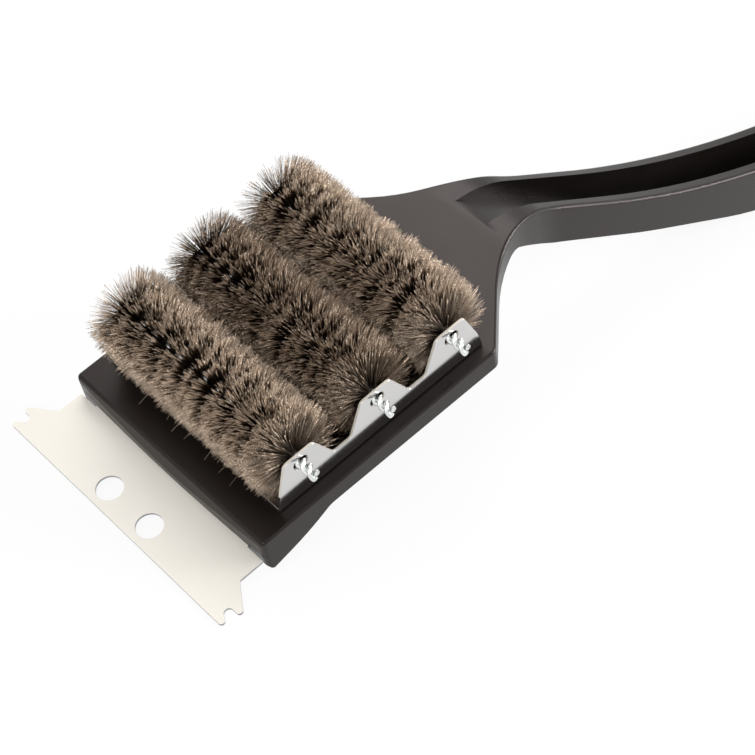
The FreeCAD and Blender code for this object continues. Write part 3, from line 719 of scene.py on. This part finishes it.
# %% Plant many bristles in one mesh
def plant(name, roots, ahead, lengths, tone_shade_and_glint, kinds):
    """A mesh of many bristles, from arrays of roots, directions and lengths in mm."""
    helper = np.where(np.abs(ahead[:, :1]) < 0.9, [[1.0, 0, 0]], [[0, 1.0, 0]])
    side = np.cross(ahead, helper)
    side /= np.linalg.norm(side, axis=1, keepdims=True)
    other = np.cross(ahead, side)
    all_points, all_faces, all_along, all_tone_shade_and_glint = [], [], [], []
    offset = 0
    for kind, (points, faces) in enumerate(templates):
        chosen = np.flatnonzero(kinds == kind)
        place = (roots[chosen, None, :]
                 + ahead[chosen, None, :] * (points[None, :, 2:3] * lengths[chosen, None, None])
                 + side[chosen, None, :] * points[None, :, 0:1]
                 + other[chosen, None, :] * points[None, :, 1:2])
        all_points.append(place.reshape(-1, 3))
        all_along.append((points[None, :, 2] * lengths[chosen, None]).reshape(-1))
        all_tone_shade_and_glint.append(np.repeat(tone_shade_and_glint[chosen], len(points)))
        shift = offset + np.arange(len(chosen)) * len(points)
        for face in faces:
            all_faces.append(shift[:, None] + np.array(face)[None, :])
        offset += len(chosen) * len(points)
    points = np.concatenate(all_points)
    faces = [tuple(f) for block in all_faces for f in block.tolist()]
    mesh = bpy.data.meshes.new(name)
    mesh.from_pydata((points * MM).tolist(), [], faces)
    mesh.attributes.new("along", "FLOAT", "POINT").data.foreach_set(
        "value", np.concatenate(all_along).astype(np.float32))
    mesh.attributes.new("own", "FLOAT", "POINT").data.foreach_set(
        "value", np.concatenate(all_tone_shade_and_glint).astype(np.float32))
    mesh.polygons.foreach_set("use_smooth", np.ones(len(mesh.polygons), bool))
    mesh.transform(LAY)
    mesh.update()
    piece = bpy.data.objects.new(name, mesh)
    scene.collection.objects.link(piece)
    return piece


# %% [markdown]
# Where a bristle may go is set by what is round it.  It is cut to the brush's round
# section, a little longer on the crest of each tuft; it ends above the bracket's
# base; it may reach a little way in among the next row's bristles; and near a flange
# it leans out only where it passes above the flange's edge.

# %% Room round a row
BRISTLE_HALF = bracket_high.x - 1.8
ROOT_OUT = 1.0
REACH = 16.4
ROW_HALF = 19.0
FLOOR_Z = 1.35
TOP_Z = head_box("middle_bristles")[1].z - 0.1
LEVEL = np.array(LAY)[2]
HIGHEST = cad_high[2] / MM - 0.2
NO_LIMIT = 99.0
LEAST_SLOPE = 0.05
TAB_TOP, TAB_FOOT = 6.4, 13.2
FLANGE_TOP, FLANGE_VALLEY = bracket_high.z, 8.4
BESIDE_FLANGE, OVER_FLANGE = 0.4, 0.5
MOST_INWARD = 0.45


def flange_height(beside):
    """Height of the flange's edge at a distance from the row's middle."""
    share = np.clip((np.abs(beside) - TAB_TOP) / (TAB_FOOT - TAB_TOP), 0, 1)
    return FLANGE_TOP + share * (FLANGE_VALLEY - FLANGE_TOP)


def pierces_flange(x, ahead, lengths):
    """True where a bristle would pass through a flange and not above its edge."""
    pierces = np.zeros(len(x), bool)
    for share in (0.15, 0.3, 0.45, 0.6, 0.75, 0.9, 1.0):
        point = ahead * (ROOT_OUT + share * lengths)[:, None]
        beyond = np.abs(x + point[:, 0]) > BRISTLE_HALF + BESIDE_FLANGE
        pierces |= beyond & (AXIS_Z + point[:, 2] < flange_height(point[:, 1]) + OVER_FLANGE)
    return pierces


def room_ahead(roots, ahead):
    """The longest that each bristle may be, under the limits round its row."""
    climb = ahead[:, 2]
    down = np.where(climb < -LEAST_SLOPE, (AXIS_Z - FLOOR_Z) / -climb, NO_LIMIT) - ROOT_OUT
    upwards = np.where(climb > LEAST_SLOPE, (TOP_Z - AXIS_Z) / climb, NO_LIMIT) - ROOT_OUT
    rise = np.maximum(ahead @ LEVEL[:3], LEAST_SLOPE)
    to_top = (HIGHEST - roots @ LEVEL[:3] - LEVEL[3] / MM) / rise
    sideways = ROW_HALF / np.maximum(np.abs(ahead[:, 1]), LEAST_SLOPE) - ROOT_OUT
    return np.minimum.reduce([down, upwards, to_top, sideways])


print("bristles over", round(2 * BRISTLE_HALF, 1), "mm, to", REACH, "mm from the core")

# %% [markdown]
# Scatter alone would make an even fog.  Real bristles drift together in slow waves,
# gather in small locks, lie aside along a parting on top of each row and splay at
# its ends.  Each of these is a small push on a bristle's turn, lean or length.

# %% Drift, locks, partings and splay
LOCK = 1.7
LOCK_PULL, LOCK_SAG, LOCK_LENGTH = 0.15, 0.035, 0.35
PART_AT = math.radians(108)
PARTINGS = [(-42.0, 20.0, 0.25), (-42.0, -8.0, 0.26), (-46.0, -16.0, 0.15)]
PART_FADE, PART_WIDTH = 8, 0.34
WORN_WIDTH, WORN_SHARE = 0.36, 4.5
SPLAY_FROM = 33


def drift(x, turn, seed):
    """Slow waves over a row, from -1 to 1, that pull neighbouring bristles together."""
    shift = seed * 1.7
    return (0.6 * np.sin(0.52 * x + 1.5 * np.sin(turn + shift) + shift)
            + 0.4 * np.sin(1.05 * x - 2 * turn + 2.6 * shift))


def gathered(x, turn):
    """Pull neighbouring bristles into small locks; each lock has its own length and tone."""
    across = int(2 * BRISTLE_HALF / LOCK) + 1
    around = int(2 * math.pi * REACH / LOCK)
    locks = (across, around)
    col = ((x + BRISTLE_HALF + 0.8 * np.sin(3 * turn)) / LOCK).astype(int) % across
    line = ((turn % (2 * math.pi)) / (2 * math.pi) * around).astype(int) % around
    middle_x = (np.arange(across)[:, None] + rng.uniform(0.1, 0.9, locks)) * LOCK
    middle_turn = (np.arange(around) + rng.uniform(0.1, 0.9, locks)) * (2 * math.pi / around)
    pull = rng.uniform(0.0, LOCK_PULL, locks)[col, line]
    sag = rng.normal(0, LOCK_SAG, locks)[col, line]
    lean = pull * (middle_x[col, line] - BRISTLE_HALF - x) / REACH + sag
    swing = pull * (middle_turn[col, line] - turn % (2 * math.pi))
    length = rng.normal(0, LOCK_LENGTH, locks)[col, line]
    tone = rng.random(locks)[col, line]
    return lean, swing, length, tone


def parted(row, x, twist, turn):
    """Turns after a parting has pushed bristles aside, and which ones it has worn away."""
    worn_from, worn_to, swing = PARTINGS[row]
    worn = (np.clip((x - worn_from) / PART_FADE, 0, 1)
            * np.clip((worn_to - x) / PART_FADE, 0, 1))
    off_part = (turn - PART_AT + math.pi) % (2 * math.pi) - math.pi
    worn *= 0.6 + 0.4 * np.cos(2 * (twist - PART_AT))
    in_part = np.abs(off_part) < WORN_WIDTH
    gone = in_part & (rng.random(len(x)) < WORN_SHARE * swing * worn ** 1.5)
    worn *= rng.uniform(0.2, 1.0, len(x))
    turn = turn + worn * np.sign(off_part) * swing * np.exp(-(off_part / PART_WIDTH) ** 2)
    return turn, gone


def splayed(x):
    """Lean at a row's ends: mostly inwards on the right, mostly outwards on the left."""
    to_end = np.clip((np.abs(x) - SPLAY_FROM) / (BRISTLE_HALF - SPLAY_FROM), 0, 1)
    on_right = rng.uniform(-0.65, 0.30, len(x))
    on_left = rng.uniform(-0.25, 0.60, len(x))
    return np.sign(x) * to_end ** 2 * np.where(x > 0, on_right, on_left)


print(len(PARTINGS), "partings, locks of", LOCK, "mm")

# %% One row of bristles
TWIST_SCATTER, LEAN_SCATTER, LENGTH_SCATTER = 0.85, 0.04, 0.55
DRIFT_SWING, DRIFT_LEAN, DRIFT_LENGTH = 0.10, 0.12, 0.5
TUFTS, TUFT_LENGTH = 9, 0.5
LONGER_BESIDE = 1.8
STRAYS, STRAY_TURN, STRAY_WITHIN, STRAY_END = 9, 3.45, 0.25, 40
# Painted shade per row, as powers on each wire's tone; the middle row is painted darkest.
ROW_PAINTED_SHADE = (1.1, 2.7, 1.5)
# Painted glints: the share of all wires, and of the forward-facing wires near the right end,
# that get them.
PAINTED_GLINT_SHARE = 0.05
PAINTED_END_GLINT, PAINTED_END_GLINT_SHARE = 9, 0.6


def directions_of(lean, turn):
    return np.stack([np.sin(lean), np.cos(lean) * np.cos(turn),
                     np.cos(lean) * np.sin(turn)], axis=1)


def row_of_bristles(row, count, y):
    """Roots, directions, lengths, and tones with painted row shade and painted glints, of one
    brush's bristles.
    """
    x = rng.uniform(-BRISTLE_HALF, BRISTLE_HALF, count)
    twist = 2 * math.pi * x / PITCH
    turn = twist + np.where(rng.random(count) < 0.5, 0.5, 1.5) * math.pi
    turn = (turn + rng.normal(0, TWIST_SCATTER, count)) % (2 * math.pi)
    wave = drift(x, turn, row)
    lock_lean, lock_swing, lock_length, lock_tone = gathered(x, turn)
    turn += lock_swing + DRIFT_SWING * drift(x, turn, row + 5)
    turn, gone = parted(row, x, twist, turn)
    lean = rng.normal(0, LEAN_SCATTER, count) + DRIFT_LEAN * wave + lock_lean
    lean += splayed(x)
    ahead = directions_of(lean, turn)

    lengths = REACH - ROOT_OUT + DRIFT_LENGTH * wave + lock_length
    lengths += rng.normal(0, LENGTH_SCATTER, count)
    tuft_turn = 2 * math.pi * (x / (2 * BRISTLE_HALF) + 0.5) * TUFTS + math.pi
    lengths += TUFT_LENGTH * np.cos(tuft_turn)
    beside = np.abs(np.sin(2 * (turn - math.pi / 2)))
    lengths += np.where(np.sin(turn) > 0, LONGER_BESIDE * beside, 0)
    pierces = pierces_flange(x, ahead, lengths)
    inward = -np.sign(x) * rng.uniform(0.0, MOST_INWARD, count)
    ahead = directions_of(np.where(pierces, inward, lean), turn)
    axis = np.stack([x, np.full(count, y), np.full(count, AXIS_Z)], axis=1)
    roots = axis + ROOT_OUT * ahead
    lengths = np.minimum(lengths, room_ahead(roots, ahead))
    if row == 0:
        in_front = (x < STRAY_END) & (np.abs(turn - STRAY_TURN) < STRAY_WITHIN)
        stray = rng.choice(np.flatnonzero(in_front), STRAYS, replace=False)
        lengths[stray] += rng.uniform(2.0, 5.5, STRAYS)

    # Painted shade: a random tone per wire and lock, raised to its row's power, so the middle
    # row is darkest.
    tone_shade_and_glint = (0.6 * rng.random(count) + 0.4 * lock_tone) ** ROW_PAINTED_SHADE[row]
    # Painted glints: at the right end, wires that point forward and inwards, and a share of all
    # wires, get the top value, which paints them dark with bright crests.
    painted_end_glint = (x > BRISTLE_HALF - PAINTED_END_GLINT) & (ahead[:, 1] < -0.3) & (ahead[:, 0] < 0)
    tone_shade_and_glint[painted_end_glint & (rng.random(count) < PAINTED_END_GLINT_SHARE)] = 1.0
    tone_shade_and_glint[rng.random(count) < PAINTED_GLINT_SHARE] = 1.0
    kinds = rng.integers(0, KINDS, count)
    return [values[~gone] for values in (roots, ahead, lengths, tone_shade_and_glint, kinds)]


# %% Plant the three rows
PER_ROW = 23500
SPANS = (("left", -50, -22), ("left_middle", -22, 0), ("right_middle", 0, 22), ("right", 22, 50))
for row, place in enumerate(ROWS):
    roots, ahead, lengths, tone_shade_and_glint, kinds = row_of_bristles(row, PER_ROW, row_y[row])
    for span, low_x, high_x in SPANS:
        chosen = (roots[:, 0] >= low_x) & (roots[:, 0] < high_x)
        piece = plant(f"{place}_bristles_{span}", roots[chosen], ahead[chosen],
                      lengths[chosen], tone_shade_and_glint[chosen], kinds[chosen])
        piece.data.materials.append(bristle_steel)
        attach(piece, "root")
        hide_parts(f"{place}_bristles")
        triangles = sum(len(p.vertices) - 2 for p in piece.data.polygons)
        print(piece.name, int(chosen.sum()), "bristles", triangles, "triangles")

# %% [markdown]
# The last step prints the size of the solids and of the dressed brush.

# %% Print both boxes
low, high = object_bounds()
print("solids", list(cad_low), list(cad_high))
print("dressed", list(low), list(high))
